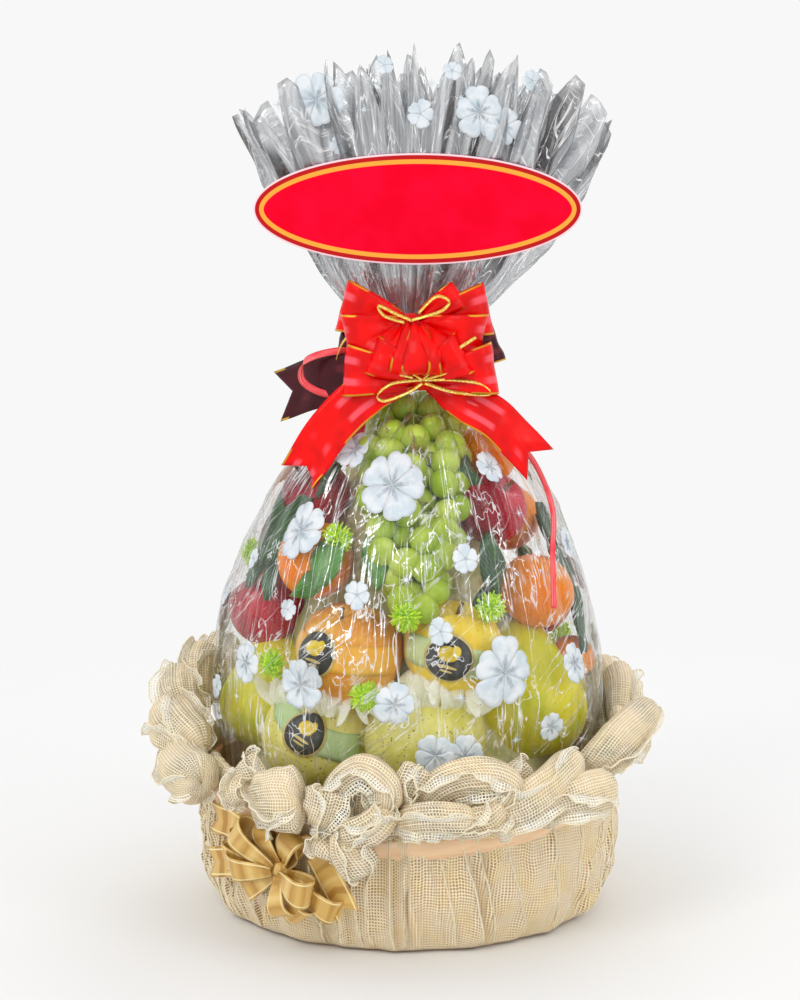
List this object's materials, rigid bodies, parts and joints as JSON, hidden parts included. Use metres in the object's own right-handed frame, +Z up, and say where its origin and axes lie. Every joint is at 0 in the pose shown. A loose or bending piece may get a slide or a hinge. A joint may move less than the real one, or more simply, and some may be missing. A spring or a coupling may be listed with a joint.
{
  "type": "fruit gift basket",
  "caption": "Round basket dressed in net, filled with fruit in a bag of clear film tied at the neck with a bow, with an oval card on its crest.",
  "frame": {"origin": "centre of the basket's base, on the surface that it stands on", "axes": "+Z up, +X to the right and +Y to the back, seen from the side with the bows and the card"},
  "size_m": [0.4747, 0.4794, 0.8149],
  "materials": {
    "net": "open woven cream net with gold thread",
    "satin": "peach satin",
    "film": "clear crinkled film with white printed flowers, full of fresh fruit",
    "red_ribbon": "glossy red ribbon with gold edges",
    "gold_ribbon": "gold satin ribbon with pale edge lines",
    "card": "printed red card with a gold line round its edge"
  },
  "bodies": {
    "root": {"basket_drum": "net", "satin_band": "satin", "mesh_ruffle": "net", "film_wrap": "film", "red_bow": "red_ribbon", "gold_bow": "gold_ribbon", "oval_card": "card"}
  },
  "joints": []
}
